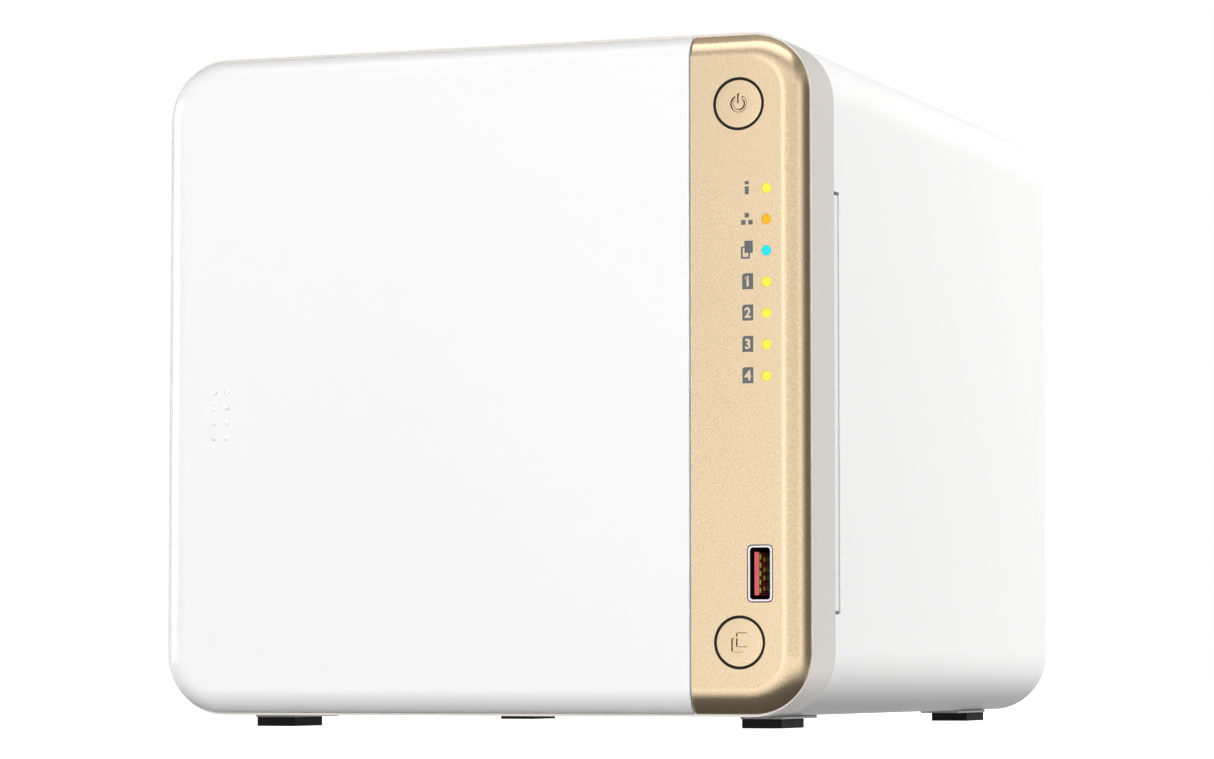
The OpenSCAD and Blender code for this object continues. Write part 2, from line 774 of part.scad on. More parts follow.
module fan_guard() {
    wire = 1;
    guard_y = panel_y + wire;
    color(steel) union() {
        for (r = [16, 26, 36, 46, 56])
            translate([fan_x, guard_y, mid_z]) rotate([90, 0, 0])
                rotate_extrude() translate([r, 0]) circle(wire, $fn = 16);
        for (a = [45:90:315])
            translate([fan_x, guard_y, mid_z]) rotate([0, a, 0]) translate([15, 0, 0])
                rotate([0, 90, 0]) cylinder(r = wire * 0.8, h = fan_hole * sqrt(2) - 15 - 3.4, $fn = 16);
        for (sx = [-1, 1], sz = [-1, 1])
            difference() {
                rod(fan_x + sx * fan_hole, mid_z + sz * fan_hole, 4.4, panel_y, panel_y + 1);
                rod(fan_x + sx * fan_hole, mid_z + sz * fan_hole, 1.8, panel_y - 1, panel_y + 2);
            }
    }
}

module fan_screws() {
    color(steel)
        for (sx = [-1, 1], sz = [-1, 1])
            difference() {
                union() {
                    rod(fan_x + sx * fan_hole, mid_z + sz * fan_hole, 3.4, panel_y + 1, rear_y);
                    rod(fan_x + sx * fan_hole, mid_z + sz * fan_hole, 1.6, panel_in_y - 5, panel_y + 1);
                }
                translate([fan_x + sx * fan_hole - 0.45, rear_y - 1, mid_z + sz * fan_hole - 2.2])
                    cube([0.9, 2, 4.4]);
                translate([fan_x + sx * fan_hole - 2.2, rear_y - 1, mid_z + sz * fan_hole - 0.45])
                    cube([4.4, 2, 0.9]);
            }
}

module reset_button() {
    color(dark) union() {
        rod(reset_x, mid_z + reset_z, reset_r, panel_in_y - 2, panel_y - 0.2);
        rod(reset_x, mid_z + reset_z, 2.4, panel_in_y - 3, panel_in_y - 1);
    }
}

module reset_switch() {
    color(dark)
        block([socket_x0, panel_in_y - 9, mid_z + reset_z - 3],
              [socket_x0 + 6.5, panel_in_y - 3 - reset_travel - 0.2, mid_z + reset_z + 3]);
}

// ---- Feet ----

module feet(w, d, lip, z0, z1) {
    for (sx = [-1, 1]) {
        block([sx * foot_x - w / 2, foot_front_y - lip, z0],
              [sx * foot_x + w / 2, foot_front_y - lip + d, z1]);
        block([sx * foot_x - w / 2, foot_rear_y + lip - d, z0],
              [sx * foot_x + w / 2, foot_rear_y + lip, z1]);
    }
}

module foot_bases() {
    color(white) feet(base_w, base_d, 0.4, pad_h, foot_h);
}

module foot_pads() {
    color(dark) feet(pad_w, pad_d, 0, 0, pad_h);
}

case_shell();
side_strip();
front_frame();
control_strip();
button_ring(1);  // power_button_ring
button_ring(-1);  // copy_button_ring
color("yellow") lamp(0);  // status_lamp
color("orange") lamp(1);  // network_lamp
color("cyan") lamp(2);  // copy_lamp
color("yellow") for (k = [3:6]) lamp(k);  // drive_lamps
front_usb_shell();
front_usb_tongue();
front_usb_contacts();
control_board();
tact_switches();
drive_cage();
cage_sides();
guide_rails();
backplane_board();
drive_sockets();
main_board();
heatsink();
memory_socket();
memory_module();
network_sockets();
rear_usb_shells();
rear_usb_tongues();
hdmi_socket();
power_inlet();
reset_switch();
rear_panel();
panel_screws();
fan_frame();
fan_guard();
fan_screws();
foot_bases();
foot_pads();
front_cover();
front_button(1);  // power_button
front_button(-1);  // copy_button
reset_button();
fan_rotor();
tray(1);  // tray_1
tray(2);  // tray_2
tray(3);  // tray_3
tray(4);  // tray_4
handle(1);  // handle_1
handle(2);  // handle_2
handle(3);  // handle_3
handle(4);  // handle_4
drive(1);  // drive_1
drive(2);  // drive_2
drive(3);  // drive_3
drive(4);  // drive_4
drive_lid(1);  // drive_lid_1
drive_lid(2);  // drive_lid_2
drive_lid(3);  // drive_lid_3
drive_lid(4);  // drive_lid_4
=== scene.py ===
# %% [markdown]
# # A four-bay network storage box
#
# This notebook dresses a desktop storage box: a gloss-white front cover, a champagne-gold control
# strip with lamps and two buttons, a champagne band, and a white case with four drives inside.
# The measured model gives the places and sizes. Blender gives the rounded edges, the fine parts
# and the finishes. The first cell loads the measured model. Nothing in it is ever moved.

# %% Load the measured model
import json
import math

import bmesh
import bpy
from mathutils import Matrix, Vector


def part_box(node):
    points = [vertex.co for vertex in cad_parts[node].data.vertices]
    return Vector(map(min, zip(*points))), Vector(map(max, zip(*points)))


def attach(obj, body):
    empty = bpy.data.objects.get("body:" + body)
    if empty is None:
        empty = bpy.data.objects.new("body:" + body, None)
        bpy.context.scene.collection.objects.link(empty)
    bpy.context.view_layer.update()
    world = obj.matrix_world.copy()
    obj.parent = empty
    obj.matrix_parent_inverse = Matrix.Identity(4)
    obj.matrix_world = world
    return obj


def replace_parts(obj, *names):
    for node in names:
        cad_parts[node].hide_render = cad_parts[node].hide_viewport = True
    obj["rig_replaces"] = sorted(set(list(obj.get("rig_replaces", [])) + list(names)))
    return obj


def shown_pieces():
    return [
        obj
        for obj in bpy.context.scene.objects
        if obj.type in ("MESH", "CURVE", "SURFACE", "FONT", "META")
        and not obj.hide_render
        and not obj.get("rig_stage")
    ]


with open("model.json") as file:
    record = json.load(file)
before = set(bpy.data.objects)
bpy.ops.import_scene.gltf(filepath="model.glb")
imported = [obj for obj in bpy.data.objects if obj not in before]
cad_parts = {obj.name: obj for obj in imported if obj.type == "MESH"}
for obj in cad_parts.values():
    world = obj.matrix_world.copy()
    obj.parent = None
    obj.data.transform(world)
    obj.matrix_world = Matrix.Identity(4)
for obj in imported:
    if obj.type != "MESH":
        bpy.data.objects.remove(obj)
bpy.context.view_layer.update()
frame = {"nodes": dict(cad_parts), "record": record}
scene = bpy.context.scene
MM = 0.001

# %% [markdown]
# ## Where things are
#
# Places come from the parts of the measured model wherever a part has them. Printed signs and the seam's
# painted shade have no part of their own, so their sizes stand in their cells. The front
# looks along -Y, +X is the right of the box and +Z is up.

# %% Measure the parts that the front is built on
cover_low, cover_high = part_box("front_cover")
strip_low, strip_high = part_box("control_strip")
case_low, case_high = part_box("case_shell")
pad_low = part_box("foot_pads")[0]
FRONT_Y = strip_low.y
BAND_Y = strip_high.y
MID_Z = (case_low.z + case_high.z) / 2
FACE_LOW = Vector((cover_low.x, FRONT_Y, strip_low.z))
FACE_HIGH = Vector((strip_high.x, BAND_Y, strip_high.z))
print("front panels are", round((FACE_HIGH.x - FACE_LOW.x) / MM, 1), "mm wide")

# %% [markdown]
# ## The camera
#
# The box is seen from its right and from just above the desk, with a long lens, so the far
# edges shrink only a little. A camera looks along its own -Z, so 90 degrees about X levels it.

# %% Place the camera
camera_data = bpy.data.cameras.new("camera")
camera_data.sensor_width = 36
camera_data.lens = 127.33
camera_data.clip_end = 30
camera = bpy.data.objects.new("camera", camera_data)
camera.location = (0.39425, -1.08633, 0.01443)
camera.rotation_euler = (math.radians(90 + 3.86), 0, math.radians(20.30))
scene.collection.objects.link(camera)
scene.camera = camera
scene.view_settings.view_transform = "Standard"
print("camera stands", round(-camera.location.y, 3), "m in front")

# %% [markdown]
# ## The studio
#
# The box stands on a plain white table that runs out of sight. To the lens the room is white
# too, so the outline is clean and no shadow shows. The table takes no part in reflections,
# because a white table would fill the dark lower edges of the glossy panels with light.

# %% Build the table
TABLE_GLOW = 1.0
bm = bmesh.new()
bmesh.ops.create_grid(bm, x_segments=1, y_segments=1, size=12)
table_mesh = bpy.data.meshes.new("table")
bm.to_mesh(table_mesh)
bm.free()
table = bpy.data.objects.new("table", table_mesh)
table.location.z = pad_low.z
table.visible_glossy = False
table.visible_diffuse = False
scene.collection.objects.link(table)
table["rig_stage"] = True
table_paint = bpy.data.materials.new("table")
table_paint.use_nodes = True
table_shader = table_paint.node_tree.nodes["Principled BSDF"]
table_shader.inputs["Base Color"].default_value = (0.9, 0.9, 0.9, 1)
table_shader.inputs["Roughness"].default_value = 0.9
table_shader.inputs["Specular IOR Level"].default_value = 0.1
table_shader.inputs["Emission Color"].default_value = (1, 1, 1, 1)
table_shader.inputs["Emission Strength"].default_value = TABLE_GLOW
table_mesh.materials.append(table_paint)
print("table at height", table.location.z)

# %% [markdown]
# A glossy object shows the room twice: as the light that falls on it, and as the picture that
# it mirrors. The two are set apart here. A colour ramp turns the height of a direction into a
# brightness, once for the mirrored room and once for the light. The mirrored room is pale just
# below eye level, black underfoot, and has a black flag on the right, which draws the thin dark
# line along the right edge of the gold strip.

# %% Light the room
MIRRORED_LEVELS = [(0.0, 0.08), (0.2, 0.1), (0.33, 0.96), (0.42, 1.3), (0.5, 0.92), (0.67, 0.72),
                   (0.85, 0.2), (1.0, 0.5)]
LIGHT_LEVELS = [(0.0, 0.0), (0.35, 0.28), (0.6, 0.0), (1.0, 0.0)]
FLAG_FROM = 0.80
FLAG_TO = 0.97
FLAG_LEVEL = 0.12

room = bpy.data.worlds.new("room")
scene.world = room
room.use_nodes = True
room_nodes = room.node_tree.nodes
room_links = room.node_tree.links
room_nodes.clear()
direction = room_nodes.new("ShaderNodeTexCoord")
parts = room_nodes.new("ShaderNodeSeparateXYZ")
height = room_nodes.new("ShaderNodeMapRange")
height.inputs["From Min"].default_value = -1
room_links.new(direction.outputs["Generated"], parts.inputs["Vector"])
room_links.new(parts.outputs["Z"], height.inputs["Value"])


def room_light(levels):
    """A background whose brightness depends on the height of the direction."""
    ramp = room_nodes.new("ShaderNodeValToRGB")
    stops = ramp.color_ramp.elements
    while len(stops) < len(levels):
        stops.new(0.5)
    for stop, (place, level) in zip(stops, levels):
        stop.position = place
        stop.color = (level, level, level, 1)
    background = room_nodes.new("ShaderNodeBackground")
    room_links.new(height.outputs["Result"], ramp.inputs["Fac"])
    room_links.new(ramp.outputs["Color"], background.inputs["Color"])
    return background


mirrored = room_light(MIRRORED_LEVELS)
lighting = room_light(LIGHT_LEVELS)
flag = room_nodes.new("ShaderNodeMapRange")
flag.inputs["From Min"].default_value = FLAG_FROM
flag.inputs["From Max"].default_value = FLAG_TO
flag.inputs["To Min"].default_value = 1
flag.inputs["To Max"].default_value = FLAG_LEVEL
room_links.new(parts.outputs["X"], flag.inputs["Value"])
room_links.new(flag.outputs["Result"], mirrored.inputs["Strength"])
white = room_nodes.new("ShaderNodeBackground")
white.inputs["Color"].default_value = (1, 1, 1, 1)
ray = room_nodes.new("ShaderNodeLightPath")
glossy_or_not = room_nodes.new("ShaderNodeMixShader")
lens_or_not = room_nodes.new("ShaderNodeMixShader")
room_output = room_nodes.new("ShaderNodeOutputWorld")
room_links.new(ray.outputs["Is Glossy Ray"], glossy_or_not.inputs["Fac"])
room_links.new(lighting.outputs["Background"], glossy_or_not.inputs[1])
room_links.new(mirrored.outputs["Background"], glossy_or_not.inputs[2])
room_links.new(ray.outputs["Is Camera Ray"], lens_or_not.inputs["Fac"])
room_links.new(glossy_or_not.outputs["Shader"], lens_or_not.inputs[1])
room_links.new(white.outputs["Background"], lens_or_not.inputs[2])
room_links.new(lens_or_not.outputs["Shader"], room_output.inputs["Surface"])
print("room has", len(MIRRORED_LEVELS), "mirrored levels")

# %% [markdown]
# The lamps of the studio are of the same two kinds. A fill is a large soft box that only gives
# light. A card is a narrow one that is only mirrored, and it draws a highlight along a rounded
# edge. Each stands at a compass angle round the box, counted from the front towards the right,
# and at a height angle, and it faces the middle of the box.

# %% Hang the fills and the cards
STAND_OFF = 2.4


def soft_box(name, azimuth, elevation, width, height, power):
    turn = math.radians(azimuth)
    rise = math.radians(elevation)
    away = Vector((math.sin(turn) * math.cos(rise), -math.cos(turn) * math.cos(rise), math.sin(rise)))
    data = bpy.data.lights.new(name, "AREA")
    data.shape = "RECTANGLE"
    data.size = width
    data.size_y = height
    data.energy = power
    light = bpy.data.objects.new(name, data)
    light.location = Vector((0, 0, MID_Z)) + away * STAND_OFF
    light.rotation_euler = away.to_track_quat("Z", "Y").to_euler()
    light.visible_camera = False
    scene.collection.objects.link(light)
    return light


FILLS = [("front_fill", 0, 15, 61.5), ("right_fill", 130, 25, 80), ("left_fill", -115, 5, 50),
         ("rear_fill", 180, 5, 20)]
CARDS = [("left_card", -90, 8, 13), ("half_left_card", -72, 8, 5.7), ("front_card", -5, 8, 1.4),
         ("half_right_card", 55, 8, 0.8)]
STRIPS = [("low_strip", 10, 27, 2), ("middle_strip", 10, 42, 1.5), ("high_strip", 10, 57, 5.6),
          ("top_strip", 10, 72, 8.5)]
for name, azimuth, elevation, power in FILLS:
    soft_box(name, azimuth, elevation, 1.6, 1.6, power).visible_glossy = False
for name, azimuth, elevation, power in CARDS:
    soft_box(name, azimuth, elevation, 0.64, 1.2, power).visible_diffuse = False
for name, azimuth, elevation, power in STRIPS:
    soft_box(name, azimuth, elevation, 2.8, 0.62, power).visible_diffuse = False
print(len(FILLS), "fills,", len(CARDS) + len(STRIPS), "cards and strips")

# %% [markdown]
# ## Surface effects that many finishes share
#
# A moulded or painted surface is never perfectly even. Three small node groups make what the
# finishes have in common: slow cloudy changes, fine grain, and pale worn edges. A group only
# puts out a value, and each finish decides what that value does to its colour or its gloss.

# %% Build the cloudy and the grainy group
def start_group(name, inputs, output):
    group = bpy.data.node_groups.new(name, "ShaderNodeTree")
    for label, value in inputs:
        socket = group.interface.new_socket(label, in_out="INPUT", socket_type="NodeSocketFloat")
        socket.default_value = value
    group.interface.new_socket(output, in_out="OUTPUT", socket_type="NodeSocketFloat")
    start = group.nodes.new("NodeGroupInput")
    end = group.nodes.new("NodeGroupOutput")
    return group, start, end


def noise_group(name, scale, detail, roughness, output):
    """Noise in the object's own coordinates, which stays on the piece when it moves."""
    group, start, end = start_group(name, [("Scale", scale)], output)
    place = group.nodes.new("ShaderNodeTexCoord")
    noise = group.nodes.new("ShaderNodeTexNoise")
    noise.inputs["Detail"].default_value = detail
    noise.inputs["Roughness"].default_value = roughness
    group.links.new(place.outputs["Object"], noise.inputs["Vector"])
    group.links.new(start.outputs["Scale"], noise.inputs["Scale"])
    group.links.new(noise.outputs["Fac"], end.inputs[output])
    return group


cloudy = noise_group("cloudy", 25, 3, 0.5, "Cloud")
grainy = noise_group("grainy", 3000, 2, 0.6, "Grain")
print("groups:", cloudy.name, grainy.name)

# %% [markdown]
# Wear shows where a surface turns outwards sharply. Pointiness measures that turn, and a range
# keeps only its highest values.

# %% Build the worn-edge and the brushed group
def wear_group():
    group, start, end = start_group("worn_edge", [("Low", 0.52), ("High", 0.62)], "Wear")
    shape = group.nodes.new("ShaderNodeNewGeometry")
    keep = group.nodes.new("ShaderNodeMapRange")
    group.links.new(shape.outputs["Pointiness"], keep.inputs["Value"])
    group.links.new(start.outputs["Low"], keep.inputs["From Min"])
    group.links.new(start.outputs["High"], keep.inputs["From Max"])
    group.links.new(keep.outputs["Result"], end.inputs["Wear"])
    return group


def brush_group():
    """Noise drawn out along the depth of the box, as brushing or rolling leaves it on sheet."""
    group, start, end = start_group("brushed", [("Scale", 1)], "Brush")
    place = group.nodes.new("ShaderNodeTexCoord")
    stretch = group.nodes.new("ShaderNodeMapping")
    stretch.inputs["Scale"].default_value = (2600, 60, 2600)
    noise = group.nodes.new("ShaderNodeTexNoise")
    noise.inputs["Detail"].default_value = 3
    group.links.new(place.outputs["Object"], stretch.inputs["Vector"])
    group.links.new(stretch.outputs["Vector"], noise.inputs["Vector"])
    group.links.new(start.outputs["Scale"], noise.inputs["Scale"])
    group.links.new(noise.outputs["Fac"], end.inputs["Brush"])
    return group


worn_edge = wear_group()
brushed = brush_group()
print("groups:", worn_edge.name, brushed.name)

# %% [markdown]
# ## Finishes
#
# Every finish is one shader with the same four layers round it: a colour that drifts slightly,
# a gloss that drifts with it, a fine relief, and paler worn edges. The numbers decide whether
# that makes gloss plastic, metallic paint, rubber or sheet steel. A value that is the same all
# over stays on the shader's own socket.

# %% Define how a finish is mixed
def place_group(tree, group, **values):
    node = tree.nodes.new("ShaderNodeGroup")
    node.node_tree = group
    for label, value in values.items():
        node.inputs[label].default_value = value
    return node


def spread_value(tree, source, low, high):
    """Turns a value from 0 to 1 into one from low to high."""
    node = tree.nodes.new("ShaderNodeMapRange")
    node.inputs["To Min"].default_value = low
    node.inputs["To Max"].default_value = high
    tree.links.new(source, node.inputs["Value"])
    return node.outputs["Result"]


def mix_colours(tree, factor, first, second):
    node = tree.nodes.new("ShaderNodeMix")
    node.data_type = "RGBA"
    node.inputs["A"].default_value = (*first, 1)
    node.inputs["B"].default_value = (*second, 1)
    tree.links.new(factor, node.inputs["Factor"])
    return node


def scaled(colour, factor):
    return tuple(min(1, channel * factor) for channel in colour)


def finish(name, colour, gloss, metal=0, drift=0.02, cloud=25, grain=3000, relief=0.02, wear=0.0,
           texture=None, coat=0, specular=0.5, speckle=0.0, glow=0):
    """A finish: base colour, roughness range (low, high), and how much of each layer it has."""
    material = bpy.data.materials.new(name)
    material.use_nodes = True
    tree = material.node_tree
    shader = tree.nodes["Principled BSDF"]
    slow = place_group(tree, cloudy, Scale=cloud).outputs["Cloud"]
    fine = place_group(tree, texture or grainy, Scale=grain).outputs[0]
    base = mix_colours(tree, slow, scaled(colour, 1 - drift), scaled(colour, 1 + drift))
    grained = tree.nodes.new("ShaderNodeMix")
    grained.data_type = "RGBA"
    grained.blend_type = "MULTIPLY"
    grained.inputs["Factor"].default_value = 1
    tone = tree.nodes.new("ShaderNodeMapRange")
    tone.inputs["From Min"].default_value = 0.3
    tone.inputs["From Max"].default_value = 0.7
    tone.inputs["To Min"].default_value = 1 - speckle
    tone.inputs["To Max"].default_value = 1 + speckle
    tree.links.new(fine, tone.inputs["Value"])
    tree.links.new(base.outputs["Result"], grained.inputs["A"])
    tree.links.new(tone.outputs["Result"], grained.inputs["B"])
    worn = mix_colours(tree, place_group(tree, worn_edge).outputs["Wear"], colour, scaled(colour, 1 + wear))
    tree.links.new(grained.outputs["Result"], worn.inputs["A"])
    tree.links.new(worn.outputs["Result"], shader.inputs["Base Color"])
    tree.links.new(spread_value(tree, slow, *gloss), shader.inputs["Roughness"])
    bump = tree.nodes.new("ShaderNodeBump")
    bump.inputs["Strength"].default_value = 1
    bump.inputs["Distance"].default_value = relief * MM
    tree.links.new(fine, bump.inputs["Height"])
    tree.links.new(bump.outputs["Normal"], shader.inputs["Normal"])
    shader.inputs["Metallic"].default_value = metal
    shader.inputs["Specular IOR Level"].default_value = specular
    shader.inputs["Coat Weight"].default_value = coat
    shader.inputs["Coat Roughness"].default_value = 0.08
    if glow:
        tree.links.new(grained.outputs["Result"], shader.inputs["Emission Color"])
        shader.inputs["Emission Strength"].default_value = glow
    return material


print("finishes are mixed from", len(bpy.data.node_groups), "groups")

# %% [markdown]
# The plastics and paints that show from the front come first. The cover is a polished white.
# The strip and its buttons carry champagne paint with metal flakes, so it is mostly metallic
# with a fine grain. The band behind them has a paler, smoother coat, and the case is satin
# white paint.

# %% Mix the finishes of the outside
FINISHES = {
    "white_gloss": finish("white_gloss", (0.90, 0.90, 0.90), (0.10, 0.16), drift=0.006, cloud=12,
                          grain=700, relief=0.004, coat=0.3),
    "case_white": finish("case_white", (0.86, 0.86, 0.855), (0.30, 0.38), drift=0.01, cloud=14,
                         grain=1500, relief=0.01),
    "strip_white": finish("strip_white", (0.81, 0.81, 0.81), (0.35, 0.45), drift=0.02),
    "gold_paint": finish("gold_paint", (0.83, 0.65, 0.43), (0.17, 0.22), metal=0.92, drift=0.01,
                         cloud=60, grain=2600, relief=0.025, speckle=0.09),
    "band_paint": finish("band_paint", (0.66, 0.62, 0.58), (0.30, 0.36), metal=0.4, drift=0.01,
                         grain=2600, relief=0.006, speckle=0.01),
    "black_plastic": finish("black_plastic", (0.010, 0.009, 0.008), (0.50, 0.60), drift=0.15,
                            specular=0.25),
    "foot_rubber": finish("foot_rubber", (0.008, 0.008, 0.008), (0.65, 0.8), drift=0.2, cloud=200,
                          grain=1800, relief=0.05, speckle=0.2, specular=0.3),
}
print(len(FINISHES), "finishes so far")

# %% [markdown]
# A lamp is a clear pin lit from behind, so its whole end glows evenly. Its own colour is kept
# dark and its glow does the rest, so the hue doesn't wash out under the studio light.

# %% Mix the lamps and the marks
LAMP_COLOURS = {
    "lamp_yellow": (0.97, 0.93, 0.075),
    "lamp_orange": (0.97, 0.50, 0.01),
    "lamp_cyan": (0.01, 0.80, 0.92),
}
UNLIT = 0.35
LAMP_GLOW = 1.75
for name, colour in LAMP_COLOURS.items():
    FINISHES[name] = finish(name, scaled(colour, UNLIT), (0.2, 0.3), drift=0.01, cloud=900,
                            relief=0.002, specular=0.2, glow=LAMP_GLOW)
INK = finish("ink", (0.115, 0.125, 0.13), (0.5, 0.6), drift=0.05, cloud=400, speckle=0.05)
# The shade finish is painted shade, for the walls of engraved marks and the notches of the side strip.
SHADE = finish("shade", (0.045, 0.03, 0.018), (0.6, 0.7), drift=0.1, cloud=300, specular=0.1)
# The seam's grey is painted shade for its narrow open gap.
SEAM_SHADE = finish("seam_shade", (0.30, 0.32, 0.34), (0.5, 0.6), drift=0.05, cloud=200, specular=0.2)
# The socket's dark sheet is painted shade for the inside of its shell.
SOCKET_SHADE = finish("socket_shade", (0.02, 0.002, 0.002), (0.6, 0.7), drift=0.1, cloud=200, specular=0.1)
print(len(LAMP_COLOURS), "lamp finishes, an ink, a shade, a filler and a lining")

# %% [markdown]
# The finishes inside and behind: plated and zinc-coated steel, cast and finned alloy, green
# boards, coloured insulators, and the pale plastics of the trays. Sheet metal uses the brushed
# group in place of grain.

# %% Mix the finishes of the inside and the back
FINISHES.update({
    "bright_steel": finish("bright_steel", (0.88, 0.88, 0.90), (0.16, 0.26), metal=1, drift=0.03,
                           cloud=150, texture=brushed, grain=1, relief=0.002, speckle=0.03),
    "sheet_steel": finish("sheet_steel", (0.62, 0.63, 0.65), (0.28, 0.42), metal=1, drift=0.08,
                          cloud=90, texture=brushed, grain=1, relief=0.004, speckle=0.05, wear=0.2),
    "drive_steel": finish("drive_steel", (0.66, 0.67, 0.69), (0.24, 0.34), metal=1, drift=0.03,
                          texture=brushed, grain=1, relief=0.003, speckle=0.05, wear=0.2),
    "drive_cast": finish("drive_cast", (0.42, 0.43, 0.45), (0.38, 0.52), metal=0.9, drift=0.08,
                         cloud=120, grain=1400, relief=0.05, speckle=0.1, wear=0.4),
    "fin_alloy": finish("fin_alloy", (0.50, 0.51, 0.53), (0.30, 0.40), metal=1, drift=0.05,
                        texture=brushed, grain=1, relief=0.004, wear=0.3),
    "contact_gold": finish("contact_gold", (0.66, 0.58, 0.08), (0.30, 0.40), metal=0.3, drift=0.05,
                           cloud=500),
    "board_green": finish("board_green", (0.012, 0.09, 0.04), (0.25, 0.4), drift=0.15, cloud=200,
                          grain=900, relief=0.02, speckle=0.15),
    "red_plastic": finish("red_plastic", (0.56, 0.085, 0.09), (0.35, 0.45), drift=0.05, cloud=300),
    "blue_plastic": finish("blue_plastic", (0.02, 0.08, 0.42), (0.35, 0.45), drift=0.05),
    "panel_paint": finish("panel_paint", (0.70, 0.70, 0.71), (0.42, 0.55), drift=0.02, cloud=30,
                          grain=1100, relief=0.05, speckle=0.03),
    "tray_plastic": finish("tray_plastic", (0.66, 0.66, 0.67), (0.38, 0.48), drift=0.02,
                           grain=1600, relief=0.03, speckle=0.02),
    "handle_plastic": finish("handle_plastic", (0.80, 0.80, 0.80), (0.28, 0.36), drift=0.015,
                             grain=1600, relief=0.015),
    "fan_black": finish("fan_black", (0.014, 0.014, 0.016), (0.36, 0.48), drift=0.15, cloud=80,
                        grain=1200, relief=0.03, speckle=0.1),
})
SLOT_OF = {part["node"]: part["material_slot"] for part in frame["record"]["subparts"]}
print(len(FINISHES), "finishes for", len(set(SLOT_OF.values())), "slots")

# %% [markdown]
# ## Making and placing a piece
#
# A piece is modelled as a bmesh, with its place in its mesh, and then handed to `add_piece`.
# That gives it a finish, tells which part it stands for and which body it rides on, breaks its
# sharp edges with a Bevel modifier, and keeps its flat faces flat in the shading with a
# Weighted Normal modifier.

# %% Define how a piece is finished
BODY_OF = {}
for body, members in frame["record"]["behaviour"]["bodies"].items():
    for node in members:
        BODY_OF[node] = body


def add_piece(name, bm, slot, body, edge=0.0, steps=2, material=None, angle=32):
    """Turns a bmesh into a finished piece. edge is the width of its broken edges, in metres."""
    bmesh.ops.remove_doubles(bm, verts=bm.verts, dist=0.0005 * MM)
    mesh = bpy.data.meshes.new(name)
    bm.to_mesh(mesh)
    bm.free()
    for polygon in mesh.polygons:
        polygon.use_smooth = True
    mesh.materials.append(material or FINISHES[slot])
    piece = bpy.data.objects.new(name, mesh)
    scene.collection.objects.link(piece)
    if edge:
        bevel = piece.modifiers.new("broken edges", "BEVEL")
        bevel.width = edge
        bevel.segments = steps
        bevel.limit_method = "ANGLE"
        bevel.angle_limit = math.radians(angle)
    else:
        mesh.set_sharp_from_angle(angle=math.radians(angle))
    shading = piece.modifiers.new("flat faces", "WEIGHTED_NORMAL")
    shading.keep_sharp = True
    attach(piece, body)
    return piece


def stand_for(name, bm, *nodes, **options):
    """Adds a piece that replaces nodes of the measured model and takes their slot and body."""
    piece = add_piece(name, bm, SLOT_OF[nodes[0]], BODY_OF[nodes[0]], **options)
    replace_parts(piece, *nodes)
    return piece


print(len(BODY_OF), "nodes have a body")

# %% [markdown]
# Blocks, and round parts turned from a short profile, make most of the pieces. A turned part is
# a few points joined into a line and spun once round, like clay on a wheel.

# %% Define blocks and turned parts
def add_block(bm, low, high):
    """Adds a box between two corners and gives back its corner points."""
    low, high = Vector(low), Vector(high)
    made = bmesh.ops.create_cube(bm, size=1)["verts"]
    bmesh.ops.scale(bm, vec=high - low, verts=made)
    bmesh.ops.translate(bm, vec=(low + high) / 2, verts=made)
    return made


def edges_along(bm, axis):
    """The edges that run parallel to an axis: 0 for X, 1 for Y, 2 for Z."""
    found = []
    for edge in bm.edges:
        run = edge.verts[1].co - edge.verts[0].co
        if abs(run[axis]) > 0.999 * run.length:
            found.append(edge)
    return found


def round_over(bm, edges, radius, steps):
    bmesh.ops.bevel(bm, geom=edges, offset=radius, offset_type="OFFSET", segments=steps,
                    profile=0.5, affect="EDGES", material=-1, clamp_overlap=False)


def rounded_block(bm, low, high, radius, steps=6, axis=1):
    """A box whose edges along one axis are rounded."""
    part = bmesh.new()
    add_block(part, low, high)
    round_over(part, edges_along(part, axis), radius, steps)
    merge_in(bm, part)


def merge_in(bm, part):
    """Adds everything in part to bm."""
    mesh = bpy.data.meshes.new("part")
    part.to_mesh(mesh)
    part.free()
    bm.from_mesh(mesh)
    bpy.data.meshes.remove(mesh)


def turned(bm, profile, centre, steps=48, toward=(0, -1, 0)):
    """Spins a profile of (radius, height) points. Height counts from centre along toward."""
    part = bmesh.new()
    points = [part.verts.new((radius, 0, height)) for radius, height in profile]
    lines = [part.edges.new(pair) for pair in zip(points, points[1:])]
    bmesh.ops.spin(part, geom=points + lines, cent=(0, 0, 0), axis=(0, 0, 1), dvec=(0, 0, 0),
                   angle=math.tau, steps=steps, use_merge=True, use_duplicate=False)
    bmesh.ops.remove_doubles(part, verts=part.verts, dist=0.0005 * MM)
    bmesh.ops.recalc_face_normals(part, faces=part.faces)
    turn = Vector(toward).to_track_quat("Z", "Y").to_matrix().to_4x4()
    bmesh.ops.transform(part, matrix=Matrix.Translation(centre) @ turn, verts=part.verts)
    merge_in(bm, part)


print("blocks and turned parts are ready")

# %% [markdown]
# Holes and engraved marks are cut with a boolean: one closed shape is taken away from another,
# and the result is read back as a bmesh so that the cutter doesn't stay in the scene.

# %% Define a clean cut
def as_object(name, bm):
    mesh = bpy.data.meshes.new(name)
    bm.to_mesh(mesh)
    bm.free()
    thing = bpy.data.objects.new(name, mesh)
    scene.collection.objects.link(thing)
    return thing


def combined(bm, tool_bm, operation="DIFFERENCE"):
    """Cuts tool_bm out of bm, or joins it on, and gives back the result as a new bmesh."""
    body = as_object("body", bm)
    tool = as_object("tool", tool_bm)
    boolean = body.modifiers.new("cut", "BOOLEAN")
    boolean.operation = operation
    boolean.solver = "EXACT"
    boolean.use_self = True
    boolean.object = tool
    evaluated = body.evaluated_get(bpy.context.evaluated_depsgraph_get())
    result = bmesh.new()
    result.from_mesh(evaluated.to_mesh())
    evaluated.to_mesh_clear()
    for thing in (body, tool):
        mesh = thing.data
        bpy.data.objects.remove(thing)
        bpy.data.meshes.remove(mesh)
    return result


print("boolean cuts are ready")

